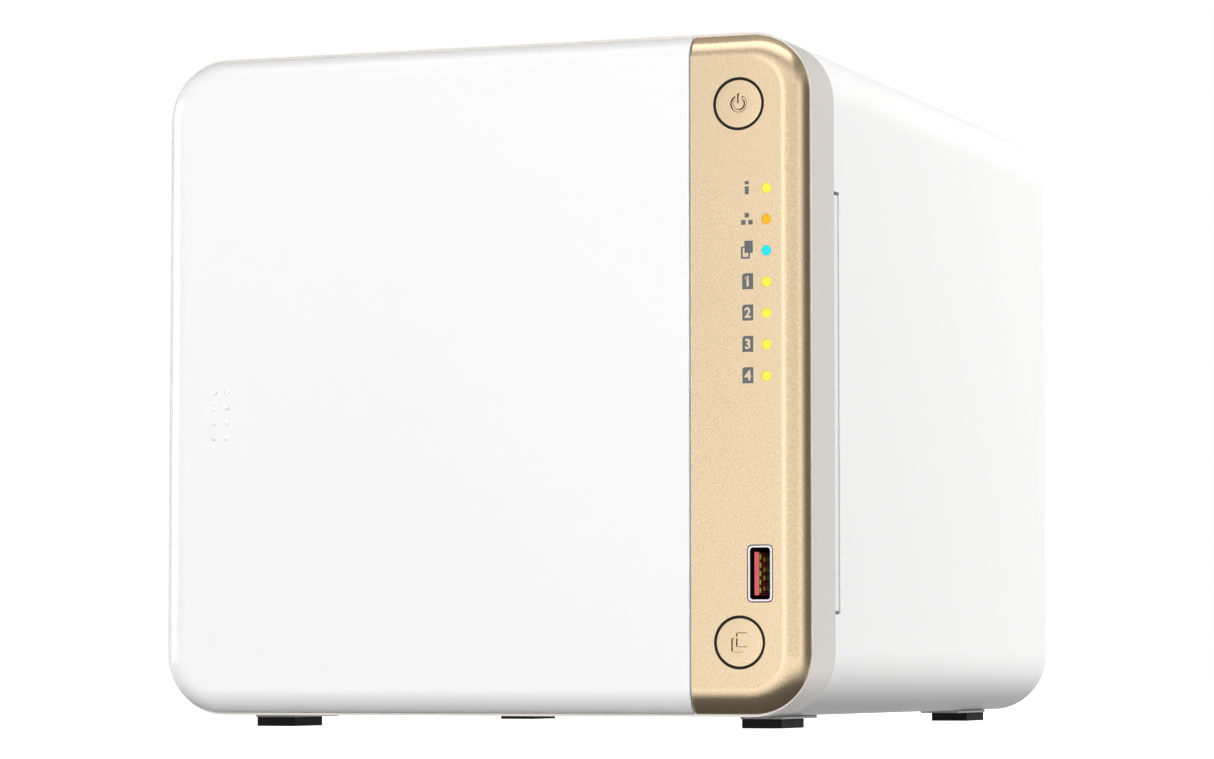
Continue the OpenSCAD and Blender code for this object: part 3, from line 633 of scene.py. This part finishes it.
# %% [markdown]
# ## The front panels
#
# The white cover and the gold strip are one continuous shape parted by a seam, so both start as
# the same block. Its outline has wide corners, and its front edge is a shallow arc: it leaves
# the face gently and meets the band at a steep angle. The arc is built by insetting the front
# face again and again, a little forward and a little inward each time.

# %% Build the block that both panels are cut from
CORNER_R = 14.6 * MM
EDGE_IN = 6.4 * MM
EDGE_LAND = 0.3 * MM
CORNER_STEPS = 20
EDGE_STEPS = 14


def front_block():
    bm = bmesh.new()
    add_block(bm, (FACE_LOW.x, BAND_Y - EDGE_LAND, FACE_LOW.z), FACE_HIGH)
    round_over(bm, edges_along(bm, 1), CORNER_R, CORNER_STEPS)
    depth = BAND_Y - FRONT_Y - EDGE_LAND
    arc_r = (EDGE_IN ** 2 + depth ** 2) / (2 * depth)
    last = math.asin(EDGE_IN / arc_r)
    for step in range(EDGE_STEPS, 0, -1):
        outer = last * step / EDGE_STEPS
        inner = last * (step - 1) / EDGE_STEPS
        face = min(bm.faces, key=lambda f: (f.calc_center_median().y, -f.calc_area()))
        bmesh.ops.inset_region(bm, faces=[face], thickness=arc_r * (math.sin(outer) - math.sin(inner)),
                               depth=arc_r * (math.cos(inner) - math.cos(outer)),
                               use_even_offset=True, use_boundary=True)
    return bm


def part_at(bm, x, keep):
    """Keeps the side of the block that lies to keep's side of x, and closes the cut."""
    everything = bm.verts[:] + bm.edges[:] + bm.faces[:]
    cut = bmesh.ops.bisect_plane(bm, geom=everything, dist=0.0001 * MM, plane_co=(x, 0, 0),
                                 plane_no=(-keep, 0, 0), clear_outer=True)["geom_cut"]
    rim = [item for item in cut if isinstance(item, bmesh.types.BMEdge)]
    bmesh.ops.edgeloop_fill(bm, edges=rim)
    return rim


def hollow(bm, skin, side):
    """Pushes the back face inwards, which leaves a shell with a rim round it."""
    back = max(bm.faces, key=lambda f: (f.calc_center_median().y, f.calc_area()))
    bmesh.ops.inset_region(bm, faces=[back], thickness=side, depth=0, use_even_offset=True,
                           use_boundary=True)
    pushed = bmesh.ops.extrude_face_region(bm, geom=[back])["geom"]
    bmesh.ops.delete(bm, geom=[back], context="FACES_ONLY")
    moved = [item for item in pushed if isinstance(item, bmesh.types.BMVert)]
    bmesh.ops.translate(bm, vec=(0, -(BAND_Y - FRONT_Y - skin), 0), verts=moved)


trial = front_block()
print("front block has", len(trial.faces), "faces and starts at y",
      round(min(v.co.y for v in trial.verts) - FRONT_Y, 6))
trial.free()

# %% [markdown]
# The cover: the block left of the seam, with a slightly rounded seam edge and a hollow back.
# Eight small raised dots at its left edge give the fingers a grip. They are turned one by one
# and sink half a millimetre into the cover, so its large face stays one clean polygon.

# %% Build the front cover
SEAM_ROUND = 0.3 * MM
GRIP_X = (-70.85 * MM, -67.4 * MM)
GRIP_TOP = MID_Z - 1.95 * MM
GRIP_PITCH = 3.8 * MM
GRIP_R = 0.75 * MM

cover = front_block()
seam_edges = part_at(cover, cover_high.x, keep=-1)
round_over(cover, seam_edges, SEAM_ROUND, 3)
hollow(cover, skin=2.2 * MM, side=2.4 * MM)
bmesh.ops.recalc_face_normals(cover, faces=cover.faces)
front_cover = stand_for("front_cover_skin", cover, "front_cover", angle=40)

grips = bmesh.new()
grip_proud = FRONT_Y - cover_low.y
GRIP_ROOT = 0.5 * MM
GRIP_DOME = [(0, 1), (0.35, 0.95), (0.7, 0.7), (0.92, 0.35), (1, 0)]
dome = [(GRIP_R * across, grip_proud * up) for across, up in GRIP_DOME]
for x in GRIP_X:
    for row in range(4):
        turned(grips, dome + [(GRIP_R, -GRIP_ROOT), (0, -GRIP_ROOT)],
               (x, FRONT_Y, GRIP_TOP - row * GRIP_PITCH), steps=24)
stand_for("cover_grips", grips, "front_cover", angle=50)
print("cover has", len(front_cover.data.polygons), "faces")

# %% [markdown]
# The gold strip is the other side of the same block, with holes for two button rings, seven lamps and the
# socket. The holes come from the measured rings, lamps and socket, a little larger, so that a thin shadow
# line shows round each. A grey bar set back in the seam is painted shade: it stands for the soft shade that a
# narrow open gap shows.

# %% Build the control strip
def middle(node):
    low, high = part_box(node)
    return (low + high) / 2


def half_size(node):
    low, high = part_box(node)
    return (high - low) / 2


LAMP_NODES = ["status_lamp", "network_lamp", "copy_lamp"]
LAMP_X = middle("status_lamp").x
LAMP_TOP = middle("status_lamp").z
LAMP_PITCH = (LAMP_TOP - middle("copy_lamp").z) / 2
LAMP_HEIGHTS = [LAMP_TOP - k * LAMP_PITCH for k in range(7)]
LAMP_R = 1.2 * MM
RINGS = {"power": middle("power_button_ring"), "copy": middle("copy_button_ring")}
RING_R = half_size("power_button_ring").x
USB_MIDDLE = middle("front_usb_shell")
USB_HALF = half_size("front_usb_shell")

strip = front_block()
seam_edges = part_at(strip, strip_low.x, keep=1)
round_over(strip, seam_edges, SEAM_ROUND, 3)
hollow(strip, skin=2.0 * MM, side=2.4 * MM)
bmesh.ops.recalc_face_normals(strip, faces=strip.faces)
holes = bmesh.new()
DEEP = 8 * MM
for centre in RINGS.values():
    turned(holes, [(0, 1 * MM), (RING_R + 0.04 * MM, 1 * MM), (RING_R + 0.04 * MM, -DEEP), (0, -DEEP)],
           (centre.x, FRONT_Y, centre.z), steps=96)
for z in LAMP_HEIGHTS:
    turned(holes, [(0, 1 * MM), (LAMP_R + 0.05 * MM, 1 * MM), (LAMP_R + 0.05 * MM, -DEEP), (0, -DEEP)],
           (LAMP_X, FRONT_Y, z), steps=40)
SOCKET_GAP = 0.2 * MM
SOCKET_R = 1.0 * MM
socket_half = Vector((USB_HALF.x + SOCKET_GAP, 0, USB_HALF.z + SOCKET_GAP))
socket_face = Vector((USB_MIDDLE.x, FRONT_Y, USB_MIDDLE.z))
rounded_block(holes, socket_face - socket_half - Vector((0, 1 * MM, 0)),
              socket_face + socket_half + Vector((0, DEEP, 0)), SOCKET_R + SOCKET_GAP)
strip = combined(strip, holes)
control_strip = stand_for("control_strip_skin", strip, "control_strip", edge=0.1 * MM, angle=40)
print("strip has", len(control_strip.data.polygons), "faces")

SEAM_SHADE_CLEAR = 0.03 * MM
SEAM_SHADE_FRONT = 0.35 * MM
SEAM_SHADE_BACK = 1.3 * MM
SEAM_SHADE_SHORT = 4 * MM
# A grey bar of painted shade stands in the seam for the gap's soft shade.
seam_shade = bmesh.new()
add_block(seam_shade, (cover_high.x + SEAM_SHADE_CLEAR, FRONT_Y + SEAM_SHADE_FRONT, FACE_LOW.z + SEAM_SHADE_SHORT),
          (strip_low.x - SEAM_SHADE_CLEAR, FRONT_Y + SEAM_SHADE_BACK, FACE_HIGH.z - SEAM_SHADE_SHORT))
add_piece("seam_painted_shade", seam_shade, "strip_white", BODY_OF["control_strip"], material=SEAM_SHADE)

# %% [markdown]
# ## Buttons and their rings
#
# Each button is a gold cap that lies flush inside a thin black ring. The caps carry engraved
# marks: an open circle with a bar, and two overlapping pages. Each is a real recess, a third of
# a millimetre deep, and thin dark strips along its walls draw the outline that shade would.

# %% Define the two engraved marks
MARK_DEEP = 0.35 * MM
STROKE = 0.8 * MM
LINE = 0.14 * MM
LINE_DOWN = 0.02 * MM
CIRCLE_R = 2.1 * MM
GAP_HALF = 0.85 * MM


def turned_ring(bm, centre, face_y, inner_r, outer_r, top):
    """A ring from the height top over the face, down to the floor of the mark."""
    turned(bm, [(inner_r, top), (outer_r, top), (outer_r, -MARK_DEEP), (inner_r, -MARK_DEEP),
                (inner_r, top)], (centre.x, face_y, centre.z), steps=64)


def circle_gap(centre, face_y):
    """The block that opens the circle at its top."""
    gap = bmesh.new()
    add_block(gap, (centre.x - GAP_HALF, face_y - 2 * MM, centre.z),
              (centre.x + GAP_HALF, face_y + 2 * MM, centre.z + 3 * MM))
    return gap


def circle_mark(centre, face_y):
    """An open circle, its gap at the top, with an upright bar in the gap."""
    ring = bmesh.new()
    turned_ring(ring, centre, face_y, CIRCLE_R - STROKE, CIRCLE_R, 1 * MM)
    mark = combined(ring, circle_gap(centre, face_y))
    add_block(mark, (centre.x - 0.36 * MM, face_y - 1 * MM, centre.z + 0.1 * MM),
              (centre.x + 0.36 * MM, face_y + MARK_DEEP, centre.z + 2.5 * MM))
    return mark


def pages_mark(centre, face_y):
    """Two rounded pages, the nearer one up and to the right, with a gap between them."""
    page = Vector((1.5 * MM, 0, 1.75 * MM))
    shift = Vector((0.6 * MM, 0, 0.62 * MM))
    gap = Vector((0.4 * MM, 0, 0.4 * MM))
    deep = Vector((0, MARK_DEEP, 0))
    proud = Vector((0, -1 * MM, 0))
    face = Vector((centre.x, face_y, centre.z))
    far_page = bmesh.new()
    rounded_block(far_page, face - shift - page + proud, face - shift + page + deep, 0.45 * MM)
    room = bmesh.new()
    rounded_block(room, face + shift - page - gap + 2 * proud, face + shift + page + gap + 2 * deep, 0.6 * MM)
    mark = combined(far_page, room)
    rounded_block(mark, face + shift - page + proud, face + shift + page + deep, 0.45 * MM)
    return mark


def lining_strip(bm, centre, face_y, left, low, right, high):
    """A thin dark strip of painted shade along one wall of a mark. Sizes are in millimetres from the button's
    middle.
    """
    add_block(bm, (centre.x + left * MM, face_y + LINE_DOWN, centre.z + low * MM),
              (centre.x + right * MM, face_y + MARK_DEEP, centre.z + high * MM))


def circle_lining(centre, face_y):
    """The dark outlines of the open circle and of its bar, in painted shade."""
    walls = bmesh.new()
    for radius in (CIRCLE_R, CIRCLE_R - STROKE + LINE):
        turned_ring(walls, centre, face_y, radius - LINE, radius, -LINE_DOWN)
    painted_shade = combined(walls, circle_gap(centre, face_y))
    lining_strip(painted_shade, centre, face_y, -0.36, 0.1, -0.22, 2.5)
    lining_strip(painted_shade, centre, face_y, -0.22, 2.36, 0.36, 2.5)
    return painted_shade


def pages_lining(centre, face_y):
    """The dark outlines of the two pages in painted shade, each strip as left, low, right and high."""
    near_page = [(-0.9, 1.5, -0.76, 2.2), (-0.76, 2.23, 2.0, 2.37), (-0.9, -1.0, -0.76, 0.9),
                 (-0.76, -1.13, 1.6, -0.99)]
    far_page = [(-2.1, -2.1, -1.96, 1.0), (-1.96, 0.99, -1.3, 1.13), (-1.7, -2.37, 0.5, -2.27)]
    painted_shade = bmesh.new()
    for sides in near_page + far_page:
        lining_strip(painted_shade, centre, face_y, *sides)
    return painted_shade


print("marks are", round(MARK_DEEP / MM, 2), "mm deep")

# %% Turn the rings and the buttons
CAP_R = half_size("power_button").x
CAP_DEEP = 2.4 * MM
STEM_R = 2.5 * MM
BREAK = 0.18 * MM
RIM_BREAK = 0.1 * MM
for name, centre in RINGS.items():
    cap_low, cap_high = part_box(f"{name}_button")
    ring_low, ring_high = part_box(f"{name}_button_ring")
    ring = bmesh.new()
    inner_r = CAP_R + 0.06 * MM
    ring_back = ring_low.y - ring_high.y
    turned(ring, [(inner_r, -2 * RIM_BREAK), (inner_r + RIM_BREAK, -RIM_BREAK),
                  (RING_R - RIM_BREAK, -RIM_BREAK), (RING_R, -2 * RIM_BREAK), (RING_R, ring_back),
                  (inner_r, ring_back), (inner_r, -2 * RIM_BREAK)],
           (centre.x, ring_low.y - RIM_BREAK, centre.z), steps=96)
    stand_for(f"{name}_ring", ring, f"{name}_button_ring")
    cap = bmesh.new()
    turned(cap, [(0, 0), (CAP_R - BREAK, 0), (CAP_R - 0.3 * BREAK, -0.3 * BREAK), (CAP_R, -BREAK),
                 (CAP_R, -CAP_DEEP), (STEM_R, -CAP_DEEP), (STEM_R, cap_low.y - cap_high.y),
                 (0, cap_low.y - cap_high.y)], (centre.x, cap_low.y, centre.z), steps=96)
    mark = circle_mark(centre, cap_low.y) if name == "power" else pages_mark(centre, cap_low.y)
    cap = combined(cap, mark)
    stand_for(f"{name}_cap", cap, f"{name}_button", angle=25)
    # Thin strips of painted shade outline the walls of the engraved mark.
    make_painted_shade = circle_lining if name == "power" else pages_lining
    add_piece(f"{name}_mark_painted_shade", make_painted_shade(centre, cap_low.y), "black_plastic",
              BODY_OF[f"{name}_button"], material=SHADE)
    print(name, "button is", round(2 * CAP_R / MM, 1), "mm across")

# %% [markdown]
# ## Lamps
#
# A lamp is a clear pin from the face of the strip to the small light source on the board behind
# it. The visible end is a flat disc with a softened rim.

# %% Turn the lamps
LAMP_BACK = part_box("status_lamp")[1].y
CHIP_DEEP = 0.8 * MM


def add_lamp(bm, z):
    length = LAMP_BACK - CHIP_DEEP - FRONT_Y - 0.05 * MM
    turned(bm, [(0, 0), (LAMP_R - 0.12 * MM, 0), (LAMP_R, -0.1 * MM), (LAMP_R, -length), (0, -length)],
           (LAMP_X, FRONT_Y + 0.05 * MM, z), steps=40)
    rounded_block(bm, (LAMP_X - 1.4 * MM, LAMP_BACK - CHIP_DEEP, z - 1 * MM),
                  (LAMP_X + 1.4 * MM, LAMP_BACK, z + 1 * MM), 0.2 * MM, steps=3)


for node, z in zip(LAMP_NODES, LAMP_HEIGHTS):
    lamp = bmesh.new()
    add_lamp(lamp, z)
    stand_for(f"{node}_pin", lamp, node)
drive_lamps = bmesh.new()
for z in LAMP_HEIGHTS[3:]:
    add_lamp(drive_lamps, z)
stand_for("drive_lamp_pins", drive_lamps, "drive_lamps")
print("lamps are", round(LAMP_PITCH / MM, 2), "mm apart")

# %% [markdown]
# ## Printed signs
#
# A grey sign stands left of every lamp: an i, three joined squares, two pages, and four small
# plates with a drive's number left open in gold. Printed ink has a thickness of a few hundredths
# of a millimetre, and that is enough to keep it clear of the paint.

# %% Print the signs for status, network and copying
INK_HIGH = 0.03 * MM
SIGN_X = 69.9 * MM


def ink_patch(bm, left, bottom, width, height):
    """A thin rectangle of ink on the strip. Sizes are in millimetres, from the sign's middle."""
    add_block(bm, (SIGN_X + left * MM, FRONT_Y - INK_HIGH, bottom),
              (SIGN_X + (left + width) * MM, FRONT_Y + 0.01 * MM, bottom + height * MM))


def finish_ink(name, bm):
    return add_piece(name, bm, "black_plastic", BODY_OF["control_strip"], material=INK)


letter_i = bmesh.new()
ink_patch(letter_i, -0.53, LAMP_HEIGHTS[0] + 1.0 * MM, 1.02, 0.83)
ink_patch(letter_i, -0.53, LAMP_HEIGHTS[0] - 1.4 * MM, 1.02, 1.9)
finish_ink("sign_status", letter_i)
squares = bmesh.new()
for left, rise in [(-0.57, 0.53), (-1.45, -1.2), (0.35, -1.2)]:
    ink_patch(squares, left, LAMP_HEIGHTS[1] + rise * MM, 1.12, 1.15)
finish_ink("sign_network", squares)
pages = bmesh.new()
PAGE_Z = LAMP_HEIGHTS[2] + 0.3 * MM
ink_patch(pages, -0.62, PAGE_Z - 0.78 * MM, 2.1, 2.95)
ink_patch(pages, -1.5, PAGE_Z - 2.15 * MM, 0.43, 2.95)
ink_patch(pages, -1.07, PAGE_Z - 2.15 * MM, 1.4, 0.43)
ink_patch(pages, -1.07, PAGE_Z + 0.37 * MM, 0.45, 0.43)
ink_patch(pages, 0.33, PAGE_Z - 2.15 * MM, 0.43, 1.37)
finish_ink("sign_copy", pages)
print("three signs printed")

# %% [markdown]
# The drive signs are plates with one corner cut off. The number is a text curve, thickened,
# turned into a mesh, and laid just over its plate in the strip's own gold.

# %% Print the numbered plates
PLATE_W = 2.75
PLATE_H = 3.85
NUMBER_H = 2.5 * MM


def number_mesh(text):
    """A digit as a closed mesh, standing upright and facing -Y, with its middle at the origin."""
    curve = bpy.data.curves.new("digit", "FONT")
    curve.body = text
    curve.size = 1
    curve.offset = 0.03
    curve.extrude = 0.5
    curve.resolution_u = 6
    letter = bpy.data.objects.new("digit", curve)
    scene.collection.objects.link(letter)
    evaluated = letter.evaluated_get(bpy.context.evaluated_depsgraph_get())
    bm = bmesh.new()
    bm.from_mesh(evaluated.to_mesh())
    evaluated.to_mesh_clear()
    bpy.data.objects.remove(letter)
    bpy.data.curves.remove(curve)
    low = Vector((min(v.co[axis] for v in bm.verts) for axis in range(3)))
    high = Vector((max(v.co[axis] for v in bm.verts) for axis in range(3)))
    size = NUMBER_H / (high.y - low.y)
    bmesh.ops.translate(bm, vec=-(low + high) / 2, verts=bm.verts)
    bmesh.ops.scale(bm, vec=(size, size, 0.02 * MM), verts=bm.verts)
    bmesh.ops.rotate(bm, cent=(0, 0, 0), matrix=Matrix.Rotation(math.radians(90), 3, "X"), verts=bm.verts)
    return bm


for drive in range(1, 5):
    centre_z = LAMP_HEIGHTS[2 + drive] + 0.23 * MM
    plate = bmesh.new()
    ink_patch(plate, -1.2, centre_z - PLATE_H / 2 * MM, PLATE_W, PLATE_H)
    corner = [e for e in edges_along(plate, 1)
              if e.verts[0].co.x < SIGN_X and e.verts[0].co.z > centre_z]
    round_over(plate, corner, 0.55 * MM, 2)
    finish_ink(f"sign_drive_{drive}", plate)
    number = number_mesh(str(drive))
    bmesh.ops.translate(number, vec=(SIGN_X + 0.17 * MM, FRONT_Y - INK_HIGH - 0.012 * MM, centre_z),
                        verts=number.verts)
    if drive == 1:  # the flag of the 1
        add_block(number, (SIGN_X - 0.45 * MM, FRONT_Y - INK_HIGH - 0.022 * MM, centre_z + 0.6 * MM),
                  (SIGN_X + 0.17 * MM, FRONT_Y - INK_HIGH - 0.002 * MM, centre_z + 0.98 * MM))
    add_piece(f"number_{drive}", number, "gold_paint", BODY_OF["control_strip"])
print("four plates numbered")

# %% [markdown]
# The light strip on the case's side has a dark spot of painted shade in each of its three notches.

# %% Paint shade into the notches of the side strip
SPOT_HALF = 0.42 * MM
SPOT_DEEP = 0.6 * MM
SPOT_CLEAR = 0.05 * MM
side_low, side_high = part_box("side_strip")
# Each spot is painted shade in a notch.
spots = bmesh.new()
for quarter in (1, 2, 3):
    z = side_low.z + quarter * (side_high.z - side_low.z) / 4
    add_block(spots, (side_high.x - SPOT_DEEP, side_low.y + SPOT_CLEAR, z - SPOT_HALF),
              (side_high.x - SPOT_CLEAR, side_low.y + SPOT_DEEP, z + SPOT_HALF))
add_piece("notch_painted_shade", spots, "strip_white", BODY_OF["side_strip"], material=SHADE)
print("three notches darkened")

# %% [markdown]
# ## The front socket
#
# The socket is a bright shell with rounded corners and a thick rolled rim. A red tongue inside it carries two
# rows of contacts: five short ones at its tip and four longer ones behind. A dark sheet behind the rim is
# painted shade: it stands for the shade inside the shell.

# %% Build the front socket
RIM = 0.54 * MM
shell = bmesh.new()
rounded_block(shell, (USB_MIDDLE.x - USB_HALF.x, FRONT_Y, USB_MIDDLE.z - USB_HALF.z),
              (USB_MIDDLE.x + USB_HALF.x, USB_MIDDLE.y + USB_HALF.y, USB_MIDDLE.z + USB_HALF.z), SOCKET_R)
room = bmesh.new()
rounded_block(room, (USB_MIDDLE.x - USB_HALF.x + RIM, FRONT_Y - 1 * MM, USB_MIDDLE.z - USB_HALF.z + RIM),
              (USB_MIDDLE.x + USB_HALF.x - RIM, USB_MIDDLE.y + USB_HALF.y - 1.5 * MM,
               USB_MIDDLE.z + USB_HALF.z - RIM), SOCKET_R - 0.5 * RIM)
shell = combined(shell, room)
stand_for("usb_shell", shell, "front_usb_shell", edge=0.12 * MM, steps=3)

SHADE_SHEET = 0.1 * MM
SHADE_CLEAR = 0.01 * MM
SHADE_FRONT = FRONT_Y + 0.35 * MM
SHADE_BACK = USB_MIDDLE.y + USB_HALF.y - 1.55 * MM


def inside_block(margin, front_y, back_y):
    """A block that fills the shell, kept a margin away from its walls."""
    bm = bmesh.new()
    half_x = USB_HALF.x - RIM - margin
    half_z = USB_HALF.z - RIM - margin
    add_block(bm, (USB_MIDDLE.x - half_x, front_y, USB_MIDDLE.z - half_z),
              (USB_MIDDLE.x + half_x, back_y, USB_MIDDLE.z + half_z))
    return bm


# A dark sheet of painted shade lines the inside of the shell.
painted_shade = combined(inside_block(SHADE_CLEAR, SHADE_FRONT, SHADE_BACK),
                  inside_block(SHADE_SHEET, SHADE_FRONT - 1 * MM, SHADE_BACK - SHADE_SHEET))
add_piece("usb_painted_shade", painted_shade, "black_plastic", BODY_OF["front_usb_shell"], material=SOCKET_SHADE)

tongue_low, tongue_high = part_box("front_usb_tongue")
tongue = bmesh.new()
add_block(tongue, tongue_low, tongue_high)
stand_for("usb_tongue", tongue, "front_usb_tongue", edge=0.15 * MM, steps=3)
print("tongue is", round((tongue_high.x - tongue_low.x) / MM, 2), "mm thick")

# %% [markdown]
# ## Parts that keep their measured shape
#
# Every other part already has the right shape. A copy of its mesh is merged, its flat faces are
# joined, and its edges are broken by the Bevel modifier, because no real edge is a knife edge.

# %% Finish the remaining parts
def refined(node, edge, steps=2, angle=32):
    bm = bmesh.new()
    bm.from_mesh(frame["nodes"][node].data)
    bmesh.ops.remove_doubles(bm, verts=bm.verts, dist=0.002 * MM)
    bmesh.ops.dissolve_limit(bm, angle_limit=math.radians(0.5), verts=bm.verts, edges=bm.edges,
                             use_dissolve_boundaries=False)
    return stand_for(f"{node}_finished", bm, node, edge=edge, steps=steps, angle=angle)


EDGES = {
    "case_shell": 0.3, "side_strip": 0.15, "front_frame": 0.1, "front_usb_contacts": 0.03,
    "rear_panel": 0.2, "foot_bases": 0.25, "foot_pads": 0.15, "fan_frame": 0.5, "fan_rotor": 0.3,
    "drive_cage": 0.12, "panel_screws": 0.15, "fan_screws": 0.2, "heatsink": 0.15,
}
DEFAULT_EDGE = 0.2
stood_for = {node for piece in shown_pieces() for node in piece.get("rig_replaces", [])}
for node in sorted(set(frame["nodes"]) - stood_for):
    refined(node, EDGES.get(node, DEFAULT_EDGE) * MM)
print(len(frame["nodes"]) - len(stood_for), "parts finished")
